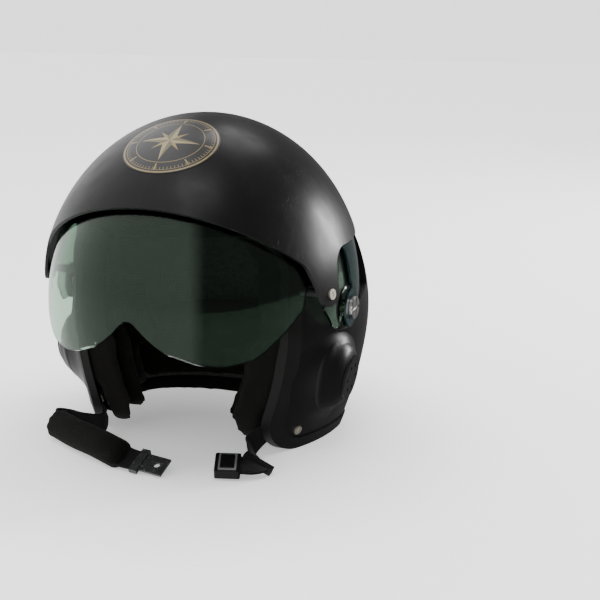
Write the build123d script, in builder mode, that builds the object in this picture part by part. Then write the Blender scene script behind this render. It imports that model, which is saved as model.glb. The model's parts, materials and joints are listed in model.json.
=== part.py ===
# Flight helmet with two swing visors under a hard cover, and chin straps laid out in front.
# The helmet faces -Y, the wearer's left is +X, and it stands on its rim at z = 0.
# The origin is on that plane, straight below the middle of the visor pivot axis.
import math
import os

from build123d import *

os.makedirs("parts", exist_ok=True)
sides = {"left": 1, "right": -1}

# Whole helmet
overrun = 40.0                # how far a cutting tool reaches past what it cuts
reach_all = 400.0             # larger than the helmet in every direction
gap = 0.3                     # between a soft or curved piece and its seat
pivot_height = 118.0          # visor pivot axis above the rim

# Main shell, drawn as horizontal egg-shaped sections
shell_wall = 3.2
wide_height = 100.0           # level where the shell is widest
wide_half = 128.5
rim_half = 106.0
crown_height = 250.0
front_reach = 143.0           # of the crown and brow
opening_front_share = 0.67    # how much of that reach is left at the level of the pivots
full_front_height = 207.0
rear_reach = 126.0            # behind the widest line
rim_rear_reach = 57.0
wide_back = 35.0              # widest line behind the pivot axis
rim_wide_back = 45.0
crown_wide_back = 15.0
side_front_reach = 130.0      # front half of a section below the pivots
rim_bow_power_share = 1.7
lower_level_shares = [1.0, 0.82, 0.64, 0.46, 0.3, 0.15]
upper_level_shares = [0.0, 0.16, 0.32, 0.48, 0.62, 0.74, 0.84, 0.92, 0.97, 0.995]

# Ear bulges and their vents
ear_out = 130.5
ear_back = -3.0
ear_height = 60.0
ear_tilt = 9.0                # degrees that the bulge faces below level
ear_profile = [(17.0, -0.6), (24.0, -4.0), (30.0, -11.0), (35.0, -24.0)]
vent_radius = 18.4
vent_thick = 3.0
vent_seat_depth = 2.2
vent_hole_radius = 1.7
vent_hole_circle = 10.6
vent_hole_count = 6

# Visors and their cover, all turned about the pivot axis
visor_wall = 1.8
pole_radius = 3.0             # flat where the pivot axis leaves each turned form
inner_visor_half = 126.0
inner_visor_radius = 144.9
outer_visor_half = 129.1
outer_visor_radius = 147.7
cover_half = 132.4
cover_radius = 151.2
cover_wall = 2.5
visor_swing = 52.0            # degrees between down and up
track_half = 121.6            # what the visors sweep over
track_radius = 141.0
track_eye_radius = 18.5
track_rear_low = 57.0         # rear edge of the swept track, behind the pivot and above it
track_rear_low_up = 8.0
track_rear_mid = 68.0
track_rear_mid_up = 48.0
track_rear_top = 26.0
track_heel_share = -0.2
track_eye_round_share = 0.7

# Face opening, seen from the side
cheek_front = -55.0
cheek_foot_radius = 34.0
brow_height = 186.0
brow_corner_radius = 34.0
trim_wide = 10.0
trim_lip = 1.2
trim_bead = 2.4

# Side outlines of the visors and the cover, forward of the pivot and above it
lens_top = (106.0, 112.0)
lens_brow = (150.0, 67.7)
lens_nose = (144.9, 9.7)
lens_nose_drop = (143.2, -10.3)
lens_lobe = (126.0, -26.5)
lens_lobe_rear = (104.0, -22.0)
lens_side = (67.0, 11.5)
lens_corner = (60.0, 30.0)
notch_front = (50.5, 26.0)
notch_rear = (37.6, 26.0)
plate_radius = 43.0
plate_top_turn = 29.0         # degrees above forward
plate_mid_turn = 18.0
plate_low_turn = 8.0
plate_toe = (27.4, -11.7)
arm_rear_low = (-18.6, 48.5)
arm_rear_top = (-5.3, 72.7)
arm_shoulder = (50.0, 100.0)
plate_heel = (8.0, -11.7)
plate_back = (-11.2, 8.0)
outer_notch = (40.6, 26.0)
outer_arm_low = (37.0, 29.0)
outer_arm_front = (8.0, 9.6)
outer_arm_back = (-8.0, 8.0)
lens_radii = [0, 0, 0, 7, 18, 22, 14, 2.5, 2.5]
plate_radii = [1, 0, 0, 2.5, 3, 0, 0]
outer_arm_radii = [1, 4, 0, 0]
arm_radii = [5, 12, 30]
brow_edge_front = (170.0, 131.2)
brow_edge_side = (66.0, 45.0)
tab_front_low = (53.6, 10.8)
tab_rear_low = (33.0, 10.8)
notch_top = (30.3, 52.0)
cover_radii = [0, 14, 9, 9, 21, 30, 0, 0, 0]
cover_rear_low = (-45.0, 53.5)
cover_rear_high = (-170.0, 166.4)

# Emblem on the crown
emblem_turn = 63.5            # degrees above forward
emblem_radius = 38.5
emblem_thick = 0.35

# Pivot hardware
boss_radius = 9.0
boss_in = 117.8
boss_out = 122.8
washer_thick = 1.1
stud_radius = 4.0
stud_clearance = 0.06
stud_end_gap = 0.3
knob_web = 1.1
stud_head_radius = 7.0
stud_head_thick = 1.6
eye_radius = 16.0
washer_radius = 8.0
knob_radius = 9.3
knob_thick = 3.4
knob_slot = 1.7
knob_slot_depth = 1.3
knob_edge = 0.8

# Tab hardware
tab_forward = 44.0
tab_rise = 20.0
spacer_radius = 3.4
spacer_flange_radius = 4.4
spacer_flange_thick = 1.4
tab_screw_radius = 4.2
tab_screw_thick = 1.6
shank_radius = 1.8
tab_shank_long = 4.5
screw_hole_deep = 6.0
screw_slot = 1.0
screw_slot_depth = 0.7

# Lining
foam_wall = 20.0
pad_wall = 13.0
cheek_pad_wall = 19.0
edge_wall = 21.0
edge_band = 12.0
pad_gap = 0.4
ear_recess_long = 21.0
ear_recess_tall = 30.0
ear_recess_depth = 12.0
ear_recess_height = 62.0
cheek_pad_top = 112.0
cheek_pad_rear = 46.0
nape_top = 84.0
crown_pad_base = 196.0
brow_pad_rear = -18.0

# Chin straps
web_wide = 20.0
web_thick = 1.5
anchor_lug_radius = 9.0

# Strap anchors
anchor_back = -29.0
anchor_height = 18.6
anchor_screw_radius = 3.8
anchor_screw_thick = 1.6
anchor_nut_radius = 4.2
anchor_nut_thick = 1.2
lug_thick = 1.6
lug_clearance = 0.06
channel_deep = 9.8            # room for the strap between shell and foam
channel_rear = -14.0
channel_top = 41.0
normal_step = 1.0

strap_layer = 7.2             # from the outside of the shell to the middle of the webbing
strap_dip = math.radians(16.0)
wall_places = [(5.0, 0.0), (14.0, 0.4), (24.0, 2.4)]   # forward from the anchor, and further in

# Left strap: webbing, slide, buckle; places are behind, up and out from the origin
left_web_route = [(-58.0, 11.2, 66.0), (-69.0, 9.8, 72.0), (-80.0, 8.9, 80.0), (-88.0, 8.7, 83.0),
                  (-94.5, 8.6, 80.5), (-97.5, 8.6, 75.0), (-99.5, 8.6, 69.0)]
left_web_rolls = [12.0, 34.0, 54.0, 66.0, 71.0, 75.0, 75.0]
keeper_place = 3
keeper_wide = 25.0
keeper_deep = 6.0
keeper_long = 7.0
buckle_wide = 24.0
buckle_deep = 7.0
buckle_long = 20.0
buckle_back = 4.0
buckle_corner = 1.6
mouth_wide = 19.0
mouth_deep = 2.6
mouth_long = 14.0
mouth_low = -1.4              # middle of the mouth from the middle of the buckle
bezel_wide = 20.0
bezel_long = 14.0
bezel_wall = 1.4
bezel_rise = 1.0
button_travel = 1.2
button_clear = 0.4
button_sink = 1.3
button_rise = 1.6
button_ridges = 5
ridge_pitch = 2.0
ridge_rise = 0.5

# Right strap: webbing, padded sleeve, tongue
right_web_route = [(-58.0, 11.4, 68.0), (-66.0, 11.2, 81.0), (-64.5, 11.5, 96.0), (-65.0, 12.0, 107.0),
                   (-73.0, 12.4, 108.0), (-82.0, 12.4, 94.0), (-97.0, 12.2, 66.0), (-110.0, 11.8, 38.0),
                   (-116.0, 8.4, 18.0), (-117.0, 7.6, 6.0)]
right_web_rolls = [10.0, 5.0, 0.0, 10.0, 25.0, 30.0, 30.0, 35.0, 58.0, 66.0]
sleeve_first = 5
sleeve_last = 8
sleeve_wide = 23.5
sleeve_deep = 17.0
sleeve_end_share = 0.7
tongue_wide = 18.0
tongue_long = 25.0
tongue_thick = 2.0
tongue_hole_radius = 2.6
tongue_hole_out = 17.0
tongue_root_wide = 24.0
tongue_root_long = 7.0
tongue_root_thick = 3.6
tongue_root_back = 2.0

pivot_axis = Axis((0, 0, pivot_height), (1, 0, 0))


def smooth_step(share):
    """0 to 1 with a level start and a level end."""
    share = min(max(share, 0.0), 1.0)
    return share * share * (3 - 2 * share)


def egg_sizes(height_share, shrink, upper):
    """Level, half width, widest line and reaches of one section."""
    if upper:
        round_share = math.sqrt(1 - height_share ** 2)
        level = wide_height + height_share * (crown_height - wide_height - shrink)
        half = (wide_half - shrink) * round_share
        back = wide_back + (crown_wide_back - wide_back) * height_share ** 2
        grown_share = smooth_step((level - pivot_height) / (full_front_height - pivot_height))
        forward_share = opening_front_share + (1 - opening_front_share) * grown_share
        front = back + (front_reach - shrink) * round_share * forward_share
        rear = (rear_reach - shrink) * round_share
    else:
        full_share = 1 - height_share ** rim_bow_power_share
        level = wide_height * (1 - height_share)
        half = rim_half + (wide_half - rim_half) * full_share - shrink
        back = rim_wide_back + (wide_back - rim_wide_back) * full_share
        front = side_front_reach - shrink
        rear = rim_rear_reach + (rear_reach - rim_rear_reach) * full_share - shrink
    return level, half, back, front, rear


def egg_section(level, half, back, front, rear):
    """One horizontal section: two half ellipses that meet on the widest line."""
    with BuildSketch(Plane.XY.offset(level)) as section:
        with BuildLine():
            EllipticalCenterArc((0, back), half, rear, start_angle=0, arc_size=180)
            EllipticalCenterArc((0, back), half, front, start_angle=180, arc_size=180)
        make_face()
    return section.sketch


def egg(shrink, foot=0.0):
    """The helmet's closed outer form, drawn in by shrink; foot lowers its flat bottom."""
    with BuildPart() as form:
        for share in lower_level_shares:
            level, half, back, front, rear = egg_sizes(share, shrink, upper=False)
            if share == lower_level_shares[0] and foot:
                add(egg_section(level - foot, half, back, front, rear))
            add(egg_section(level, half, back, front, rear))
        for share in upper_level_shares:
            add(egg_section(*egg_sizes(share, shrink, upper=True)))
        loft()
    return form.part


def ear_bulge(side, shrink):
    """Round swelling over one ear, drawn in by shrink along its own axis."""
    start = ear_plane.origin - ear_plane.z_dir * shrink
    with BuildPart() as bulge:
        with BuildSketch(Plane(start, x_dir=(0, 1, 0), z_dir=Vector(0, 1, 0).cross(ear_plane.z_dir))):
            with BuildLine():
                Spline((0, 0), *ear_profile, tangents=[(1, 0), (0, -1)])
                Polyline(ear_profile[-1], (0, ear_profile[-1][1]), (0, 0))
            make_face()
        revolve(axis=Axis(start, ear_plane.z_dir))
    return on_side(side, bulge.part)


def turned_form(half, radius):
    """Closed ellipsoid of revolution about the pivot axis, with small flats where the axis leaves it."""
    turn = math.asin(pole_radius / radius)
    flat = half * math.cos(turn)
    with BuildPart() as form:
        with BuildSketch(Plane((0, 0, pivot_height), x_dir=(1, 0, 0), z_dir=(0, 1, 0))):
            with BuildLine():
                EllipticalCenterArc((0, 0), half, radius, start_angle=math.degrees(turn),
                                    arc_size=180 - 2 * math.degrees(turn))
                Polyline((-flat, pole_radius), (-flat, 0), (flat, 0), (flat, pole_radius))
            make_face()
        revolve(axis=pivot_axis)
    return form.part


def side_block(points, radii):
    """Block right through the helmet, with its outline given in (y, z) as seen from the side."""
    with BuildPart() as block:
        with BuildSketch(Plane.YZ):
            with BuildLine():
                FilletPolyline(*points, radius=radii, close=True)
            make_face()
        extrude(amount=reach_all, both=True)
    return block.part


def helmet_side(inset):
    """Block behind the face opening and above the rim, drawn in by inset."""
    front = cheek_front + inset
    points = [(reach_all, inset), (front, inset), (front, brow_height + inset),
              (-reach_all, brow_height + inset), (-reach_all, reach_all), (reach_all, reach_all)]
    return side_block(points, [0, cheek_foot_radius - inset, brow_corner_radius + inset, 0, 0, 0])


def band(near, far):
    """Block along the edge of the face opening and the rim, between two insets."""
    with BuildPart() as block:
        add(helmet_side(near))
        add(helmet_side(far), mode=Mode.SUBTRACT)
    return block.part


def pivot_points(places):
    """Side-view points given from the pivot axis, forward and up."""
    return [(-forward, pivot_height + up) for forward, up in places]


def track_cutter(shrink):
    """What the visors' path takes off the outside of the shell."""
    eye = track_eye_radius + shrink
    places = [(reach_all, -eye), (0, -eye), (-eye, -eye), (-eye, eye * track_heel_share),
              (-track_rear_low - shrink, track_rear_low_up), (-track_rear_mid - shrink, track_rear_mid_up),
              (-track_rear_top - shrink, cover_radius), (-track_rear_top - shrink, reach_all),
              (reach_all, reach_all)]
    with BuildPart() as cutter:
        add(side_block(pivot_points(places), [0, 0, eye * track_eye_round_share, 0, 0, 0, 0, 0, 0]))
        add(turned_form(track_half - shrink, track_radius - shrink), mode=Mode.SUBTRACT)
    return cutter.part


shell_forms = {}


def shell_form(shrink, foot=0.0, ears=False):
    """The egg cut back where the visors sweep, all drawn in by shrink; each is made once."""
    wanted = (shrink, foot, ears)
    if wanted not in shell_forms:
        with BuildPart() as form:
            add(egg(shrink, foot))
            if ears:
                for side in sides.values():
                    add(ear_bulge(side, shrink))
            add(track_cutter(shrink), mode=Mode.SUBTRACT)
        shell_forms[wanted] = form.part
    return shell_forms[wanted]


def joined_halves(part):
    """The same piece made of its two sides, which puts an edge right over its crown."""
    left_half = split(part.solid(), bisect_by=Plane.YZ, keep=Keep.TOP)
    right_half = split(part.solid(), bisect_by=Plane.YZ, keep=Keep.BOTTOM)
    with BuildPart() as joined:
        add(left_half)
        add(right_half, clean=False)
    return joined.part


def export(part, name):
    part.label = name
    export_step(part, "parts/" + name + ".step")


def polar(radius, turn):
    """Forward and up of a point at a radius from the pivot, turned up from forward."""
    return radius * math.cos(math.radians(turn)), radius * math.sin(math.radians(turn))


def rod_on(plane, radius, low, high, hollow=0.0):
    """Cylinder that stands on a plane, from low to high above it."""
    with BuildPart() as rod:
        with BuildSketch(plane.offset(low)):
            Circle(radius)
            if hollow:
                Circle(hollow, mode=Mode.SUBTRACT)
        extrude(amount=high - low)
    return rod.part


def egg_x(back, height, shrink=0.0):
    """Half width of the shell's lower part at a place behind the pivot and above the rim."""
    share = 1 - height / wide_height
    level, half, middle, front, rear = egg_sizes(share, shrink, upper=False)
    reach = rear if back > middle else front
    return half * math.sqrt(1 - ((back - middle) / reach) ** 2)


def lower_normal(back, height):
    """Outward direction of the left wall there."""
    slope_back = (egg_x(back + normal_step, height) - egg_x(back - normal_step, height)) / (2 * normal_step)
    slope_up = (egg_x(back, height + normal_step) - egg_x(back, height - normal_step)) / (2 * normal_step)
    return Vector(1, -slope_back, -slope_up).normalized()


def turned_x(half, radius, forward, up):
    """Half width of a form turned about the pivot axis, at a place from the pivot."""
    return half * math.sqrt(1 - (forward ** 2 + up ** 2) / radius ** 2)


# Places on the left side that fasteners and vents stand on
ear_turn = math.radians(ear_tilt)
ear_plane = Plane((ear_out, ear_back, ear_height), x_dir=(0, 1, 0),
                  z_dir=(math.cos(ear_turn), 0, -math.sin(ear_turn)))
anchor_plane = Plane((egg_x(anchor_back, anchor_height), anchor_back, anchor_height),
                     z_dir=lower_normal(anchor_back, anchor_height))
tab_x = turned_x(cover_half, cover_radius, tab_forward, tab_rise)
tab_out = (tab_x / cover_half ** 2, -tab_forward / cover_radius ** 2, tab_rise / cover_radius ** 2)
tab_plane = Plane((tab_x, -tab_forward, pivot_height + tab_rise), z_dir=tab_out)
pivot_left = Plane((0, 0, pivot_height), x_dir=(0, 1, 0), z_dir=(1, 0, 0))
cover_inside_x = turned_x(cover_half - cover_wall, cover_radius - cover_wall, tab_forward, tab_rise)
flange_low = cover_inside_x - spacer_flange_thick


def on_side(side, part):
    """The left piece itself, or its mirror image for the right."""
    return part if side > 0 else mirror(part, about=Plane.YZ)


def cross_slots(plane, top, radius, width, depth):
    """Cross-shaped driver slots cut down into a head."""
    with BuildPart() as slots:
        with BuildSketch(plane.offset(top - depth)):
            Rectangle(2 * radius, width)
            Rectangle(width, 2 * radius)
        extrude(amount=2 * depth)
    return slots.part


def screw(plane, head_radius, head_thick, shank_end):
    """Round-headed screw with a cross slot, its head standing on a plane."""
    with BuildPart() as fastener:
        add(rod_on(plane, head_radius, 0, head_thick))
        add(rod_on(plane, shank_radius, -shank_end, 0))
        add(cross_slots(plane, head_thick, head_radius / 2, screw_slot, screw_slot_depth), mode=Mode.SUBTRACT)
    return fastener.part


def lined(outer, inner):
    """Layer of the lining between two drawn-in forms of the shell."""
    with BuildPart() as layer:
        add(shell_form(outer, foot=overrun))
        add(shell_form(inner, foot=overrun), mode=Mode.SUBTRACT)
    return layer.part


def block_between(back, up):
    """Block right through the helmet between two places behind the pivot and two heights."""
    with BuildPart() as block:
        with BuildSketch(Plane.YZ):
            with BuildLine():
                Polyline((back[0], up[0]), (back[1], up[0]), (back[1], up[1]), (back[0], up[1]), close=True)
            make_face()
        extrude(amount=reach_all, both=True)
    return block.part


def strap_frames(route, rolls):
    """Planes across a strap: x over its width, y out of its face, z along it. Left side."""
    normal = anchor_plane.z_dir
    level = anchor_plane.origin - normal * strap_layer
    ahead = Vector(0, -math.cos(strap_dip), -math.sin(strap_dip))
    ahead = (ahead - normal * ahead.dot(normal)).normalized()
    places = [level + ahead * reach - normal * deeper for reach, deeper in wall_places]
    places = places + [Vector(out, back, height) for back, height, out in route]
    frames = []
    for index, place in enumerate(places):
        before = places[max(index - 1, 0)]
        after = places[min(index + 1, len(places) - 1)]
        along = (after - before).normalized()
        if index < len(wall_places):
            frames.append(Plane(place, x_dir=ahead.cross(normal), z_dir=ahead))
            continue
        rise = (Vector(0, 0, 1) - along * along.Z).normalized()
        turn = math.radians(rolls[index - len(wall_places)])
        wide = rise * math.cos(turn) + along.cross(rise) * math.sin(turn)
        frames.append(Plane(place, x_dir=wide, z_dir=along))
    return frames


def ribbon(frames, wide, thick):
    """Flat band through all the frames."""
    with BuildPart() as band_form:
        for frame in frames:
            with BuildSketch(frame):
                Rectangle(wide, thick)
        loft()
    return band_form.part


def webbing(frames):
    """Strap with a round lug that turns on the anchor screw."""
    with BuildPart() as strap:
        add(ribbon(frames, web_wide, web_thick))
        lug_low = -strap_layer - lug_thick / 2
        add(rod_on(anchor_plane, anchor_lug_radius, lug_low, lug_low + lug_thick))
        add(rod_on(anchor_plane, shank_radius + lug_clearance, -overrun, overrun), mode=Mode.SUBTRACT)
    return strap.part


def slab(frame, wide, near, far, low, high):
    """Block on a strap frame: width, reach along the strap, and levels out of its face."""
    with BuildPart() as block:
        with BuildSketch(frame.offset(near)):
            with Locations((0, (low + high) / 2)):
                Rectangle(wide, high - low)
        extrude(amount=far - near)
    return block.part


# Main shell
with BuildPart() as main_shell:
    add(shell_form(0, ears=True))
    add(shell_form(shell_wall, foot=overrun, ears=True), mode=Mode.SUBTRACT)
    add(helmet_side(trim_bead), mode=Mode.INTERSECT)
    for side in sides.values():
        add(on_side(side, rod_on(pivot_left, boss_radius, boss_in, boss_out)))
        add(on_side(side, rod_on(pivot_left, stud_radius, boss_in - overrun, boss_out + overrun)),
            mode=Mode.SUBTRACT)
        vent_seat = rod_on(ear_plane, vent_radius + gap, -vent_seat_depth, overrun)
        add(on_side(side, vent_seat), mode=Mode.SUBTRACT)
        add(on_side(side, rod_on(anchor_plane, shank_radius, -overrun, overrun)), mode=Mode.SUBTRACT)
export(main_shell.part, "main_shell")

# Edge trim, a channel pushed over the edge of the shell
with BuildPart() as edge_trim:
    add(shell_form(-trim_lip))
    add(shell_form(shell_wall + trim_lip, foot=overrun), mode=Mode.SUBTRACT)
    add(band(0, trim_wide), mode=Mode.INTERSECT)
    add(main_shell.part, mode=Mode.SUBTRACT)
export(edge_trim.part, "edge_trim")

# Cover over the parked visors
with BuildPart() as visor_cover:
    add(turned_form(cover_half, cover_radius))
    add(turned_form(cover_half - cover_wall, cover_radius - cover_wall), mode=Mode.SUBTRACT)
    cover_outline = [brow_edge_front, brow_edge_side, tab_front_low, tab_rear_low, notch_top, cover_rear_low,
                     cover_rear_high, (-reach_all, reach_all), (reach_all, reach_all)]
    add(side_block(pivot_points(cover_outline), cover_radii), mode=Mode.INTERSECT)
    for side in sides.values():
        add(on_side(side, rod_on(tab_plane, shank_radius, -screw_hole_deep, overrun)), mode=Mode.SUBTRACT)
export(joined_halves(visor_cover.part), "visor_cover")

# Emblem on the crown of the cover
emblem_tilt = math.radians(emblem_turn)
emblem_out = (0, -math.cos(emblem_tilt), math.sin(emblem_tilt))
emblem_plane = Plane((0, 0, pivot_height), x_dir=(1, 0, 0), z_dir=emblem_out)
with BuildPart() as emblem_disc:
    add(turned_form(cover_half + emblem_thick, cover_radius + emblem_thick))
    add(turned_form(cover_half, cover_radius), mode=Mode.SUBTRACT)
    add(rod_on(emblem_plane, emblem_radius, 0, reach_all), mode=Mode.INTERSECT)
export(emblem_disc.part, "emblem_disc")

# Visors
lens_outline = [lens_top, lens_brow, lens_nose, lens_nose_drop, lens_lobe, lens_lobe_rear, lens_side,
                lens_corner]
arm_outline = [arm_rear_low, arm_rear_top, arm_shoulder]


def visor(half, radius, outline, radii):
    """Both sides and lens of one visor, lowered, in one moulding with round eyes at the pivots."""
    with BuildPart() as shield:
        add(turned_form(half, radius))
        add(turned_form(half - visor_wall, radius - visor_wall), mode=Mode.SUBTRACT)
        add(side_block(pivot_points(outline), radii), mode=Mode.INTERSECT)
        for side in sides.values():
            add(on_side(side, rod_on(pivot_left, eye_radius, half - visor_wall, half)))
            stud_hole = rod_on(pivot_left, stud_radius + stud_clearance, half - overrun, half + overrun)
            add(on_side(side, stud_hole), mode=Mode.SUBTRACT)
    return shield.part


plate_rim = [polar(plate_radius, turn) for turn in (plate_top_turn, plate_mid_turn, plate_low_turn)]
plate_outline = [notch_front, notch_rear] + plate_rim + [plate_toe, plate_heel, plate_back]
inner_visor = visor(inner_visor_half, inner_visor_radius, lens_outline + plate_outline + arm_outline,
                    lens_radii + plate_radii + arm_radii)
export(inner_visor, "inner_visor")
strap_outline = [notch_front, outer_notch, outer_arm_low, outer_arm_front, outer_arm_back]
outer_visor = visor(outer_visor_half, outer_visor_radius, lens_outline + strap_outline + arm_outline,
                    lens_radii + outer_arm_radii + arm_radii)
outer_visor = outer_visor.rotate(pivot_axis, -visor_swing)
export(joined_halves(outer_visor), "outer_visor")

# Pivots, tabs, vents and strap screws, on both sides
knob_low = outer_visor_half + gap
knob_high = knob_low + knob_thick
bore_end = knob_high - knob_web
washer_low = inner_visor_half + gap
washer_high = outer_visor_half - visor_wall - gap
lug_inner = strap_layer + lug_thick / 2 + gap
for side_name, side in sides.items():
    with BuildPart() as pivot_stud:
        add(rod_on(pivot_left, stud_head_radius, boss_in - stud_head_thick, boss_in))
        add(rod_on(pivot_left, stud_radius, boss_in, bore_end - stud_end_gap))
    export(on_side(side, pivot_stud.part), side_name + "_pivot_stud")

    with BuildPart() as pivot_washers:
        add(rod_on(pivot_left, washer_radius, boss_out, boss_out + washer_thick, hollow=stud_radius))
        add(rod_on(pivot_left, washer_radius, washer_low, washer_high, hollow=stud_radius))
    export(on_side(side, pivot_washers.part), side_name + "_pivot_washers")

    with BuildPart() as pivot_knob:
        add(rod_on(pivot_left, knob_radius, knob_low, knob_high))
        chamfer(pivot_knob.edges().sort_by(Axis.X)[-1:], knob_edge)
        knob_bore = rod_on(pivot_left, stud_radius + stud_clearance, knob_low - overrun, bore_end)
        add(knob_bore, mode=Mode.SUBTRACT)
        add(cross_slots(pivot_left, knob_high, knob_radius, knob_slot, knob_slot_depth), mode=Mode.SUBTRACT)
    export(on_side(side, pivot_knob.part), side_name + "_pivot_knob")

    tab_spot = Plane((0, -tab_forward, pivot_height + tab_rise), x_dir=(0, 1, 0), z_dir=(1, 0, 0))
    with BuildPart() as tab_spacer:
        add(rod_on(tab_spot, spacer_radius, boss_in - overrun, tab_x))
        add(rod_on(tab_spot, spacer_flange_radius, flange_low, tab_x))
        add(turned_form(cover_half - cover_wall, cover_radius - cover_wall), mode=Mode.INTERSECT)
        add(shell_form(0), mode=Mode.SUBTRACT)
        add(edge_trim.part, mode=Mode.SUBTRACT)
        add(rod_on(tab_plane, shank_radius, -cover_wall - tab_shank_long, overrun), mode=Mode.SUBTRACT)
    export(on_side(side, tab_spacer.part), side_name + "_tab_spacer")
    tab_screw = screw(tab_plane, tab_screw_radius, tab_screw_thick, tab_shank_long)
    export(on_side(side, tab_screw), side_name + "_tab_screw")

    with BuildPart() as ear_vent:
        add(rod_on(ear_plane, vent_radius, -vent_seat_depth, vent_thick - vent_seat_depth))
        with BuildSketch(ear_plane.offset(-vent_seat_depth)):
            with PolarLocations(vent_hole_circle, vent_hole_count):
                Circle(vent_hole_radius)
        extrude(amount=vent_thick, mode=Mode.SUBTRACT)
    export(on_side(side, ear_vent.part), side_name + "_ear_vent")

    with BuildPart() as strap_screw:
        add(screw(anchor_plane, anchor_screw_radius, anchor_screw_thick, lug_inner + anchor_nut_thick))
        add(rod_on(anchor_plane, anchor_nut_radius, -lug_inner - anchor_nut_thick, -lug_inner))
    export(on_side(side, strap_screw.part), side_name + "_strap_screw")

# Lining
with BuildPart() as strap_room:
    with BuildSketch(anchor_plane.offset(-shell_wall - channel_deep)):
        Rectangle(reach_all, reach_all)
    extrude(amount=reach_all)
    add(block_between((-reach_all, channel_rear), (-reach_all, channel_top)), mode=Mode.INTERSECT)
lining_edge = edge_band + trim_bead + gap
with BuildPart() as foam_liner:
    add(shell_form(shell_wall + gap))
    add(helmet_side(lining_edge), mode=Mode.INTERSECT)
    add(shell_form(shell_wall + gap + foam_wall, foot=overrun), mode=Mode.SUBTRACT)
    for side in sides.values():
        add(on_side(side, strap_room.part), mode=Mode.SUBTRACT)
        add(on_side(side, rod_on(pivot_left, boss_radius + gap, boss_in - stud_head_thick - gap, boss_out)),
            mode=Mode.SUBTRACT)
export(foam_liner.part, "foam_liner")

with BuildPart() as liner_edge:
    add(lined(shell_wall + trim_lip + gap, shell_wall + trim_lip + gap + edge_wall))
    add(band(trim_bead + gap, lining_edge - gap), mode=Mode.INTERSECT)
    for side in sides.values():
        add(on_side(side, strap_room.part), mode=Mode.SUBTRACT)
export(liner_edge.part, "liner_edge")

pad_out = shell_wall + gap + foam_wall + pad_gap
comfort_layer = lined(pad_out, pad_out + pad_wall)
pad_places = {"crown_pad": ((brow_pad_rear + pad_gap, reach_all), (crown_pad_base, reach_all)),
              "brow_pad": ((-reach_all, brow_pad_rear), (brow_height + lining_edge, reach_all)),
              "nape_pad": ((cheek_pad_rear + pad_gap, reach_all), (lining_edge, nape_top))}
for pad_name, (pad_back, pad_up) in pad_places.items():
    with BuildPart() as comfort_pad:
        add(comfort_layer)
        add(block_between(pad_back, pad_up), mode=Mode.INTERSECT)
    export(comfort_pad.part, pad_name)

cheek_layer = lined(pad_out, pad_out + cheek_pad_wall)
for side_name, side in sides.items():
    with BuildPart() as cheek_pad:
        add(cheek_layer)
        add(helmet_side(lining_edge), mode=Mode.INTERSECT)
        add(block_between((-reach_all, cheek_pad_rear), (lining_edge, cheek_pad_top)), mode=Mode.INTERSECT)
        with Locations((side * reach_all, 0, 0)):
            Box(2 * reach_all, 2 * reach_all, 2 * reach_all, mode=Mode.INTERSECT)
        recess_plane = Plane((0, ear_back, ear_recess_height), x_dir=(0, 1, 0), z_dir=(1, 0, 0))
        with BuildSketch(recess_plane):
            Ellipse(ear_recess_long, ear_recess_tall)
        recess_reach = egg_x(ear_back, ear_recess_height, pad_out + cheek_pad_wall) + ear_recess_depth
        extrude(amount=side * recess_reach, mode=Mode.SUBTRACT)
    export(cheek_pad.part, side_name + "_cheek_pad")

# Left strap and its buckle
left_frames = strap_frames(left_web_route, left_web_rolls)
left_webbing = webbing(left_frames)
export(left_webbing, "left_webbing")

keeper_frame = left_frames[len(wall_places) + keeper_place]
with BuildPart() as strap_keeper:
    add(slab(keeper_frame, keeper_wide, -keeper_long / 2, keeper_long / 2, -keeper_deep / 2, keeper_deep / 2))
    add(left_webbing, mode=Mode.SUBTRACT)
export(strap_keeper.part, "strap_keeper")

end_frame = left_frames[-1]
buckle_up = end_frame.x_dir.cross(end_frame.z_dir)
buckle_frame_plane = Plane(end_frame.origin, x_dir=end_frame.x_dir, z_dir=buckle_up)
buckle_top = buckle_deep / 2
window_wide = bezel_wide - 2 * bezel_wall
window_long = bezel_long - 2 * bezel_wall
window_middle = buckle_long / 2 - buckle_back
pocket_deep = button_sink + button_travel + gap
mouth_end = buckle_long - buckle_back
with BuildPart() as buckle_frame:
    with BuildSketch(buckle_frame_plane.offset(-buckle_top)):
        with Locations((0, window_middle)):
            Rectangle(buckle_wide, buckle_long)
    extrude(amount=buckle_deep)
    fillet(buckle_frame.edges().filter_by(Axis(end_frame.origin, buckle_up)), buckle_corner)
    with BuildSketch(buckle_frame_plane.offset(buckle_top)):
        with Locations((0, window_middle)):
            Rectangle(window_wide, window_long)
    extrude(amount=-pocket_deep, mode=Mode.SUBTRACT)
    with BuildSketch(buckle_frame_plane.offset(mouth_low - mouth_deep / 2)):
        with Locations((0, mouth_end - mouth_long / 2)):
            Rectangle(mouth_wide, mouth_long)
    extrude(amount=mouth_deep, mode=Mode.SUBTRACT)
    add(left_webbing, mode=Mode.SUBTRACT)
export(buckle_frame.part, "buckle_frame")

with BuildPart() as buckle_bezel:
    with BuildSketch(buckle_frame_plane.offset(buckle_top)):
        with Locations((0, window_middle)):
            Rectangle(bezel_wide, bezel_long)
            Rectangle(window_wide, window_long, mode=Mode.SUBTRACT)
    extrude(amount=bezel_rise)
export(buckle_bezel.part, "buckle_bezel")

with BuildPart() as buckle_button:
    with BuildSketch(buckle_frame_plane.offset(buckle_top - button_sink)):
        with Locations((0, window_middle)):
            Rectangle(window_wide - 2 * button_clear, window_long - 2 * button_clear)
    extrude(amount=button_sink + button_rise)
    with BuildSketch(buckle_frame_plane.offset(buckle_top + button_rise)):
        with Locations((0, window_middle)):
            with GridLocations(0, ridge_pitch, 1, button_ridges):
                Rectangle(window_wide - 2 * bezel_wall, ridge_pitch / 2)
    extrude(amount=ridge_rise)
export(buckle_button.part, "buckle_button")

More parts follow.
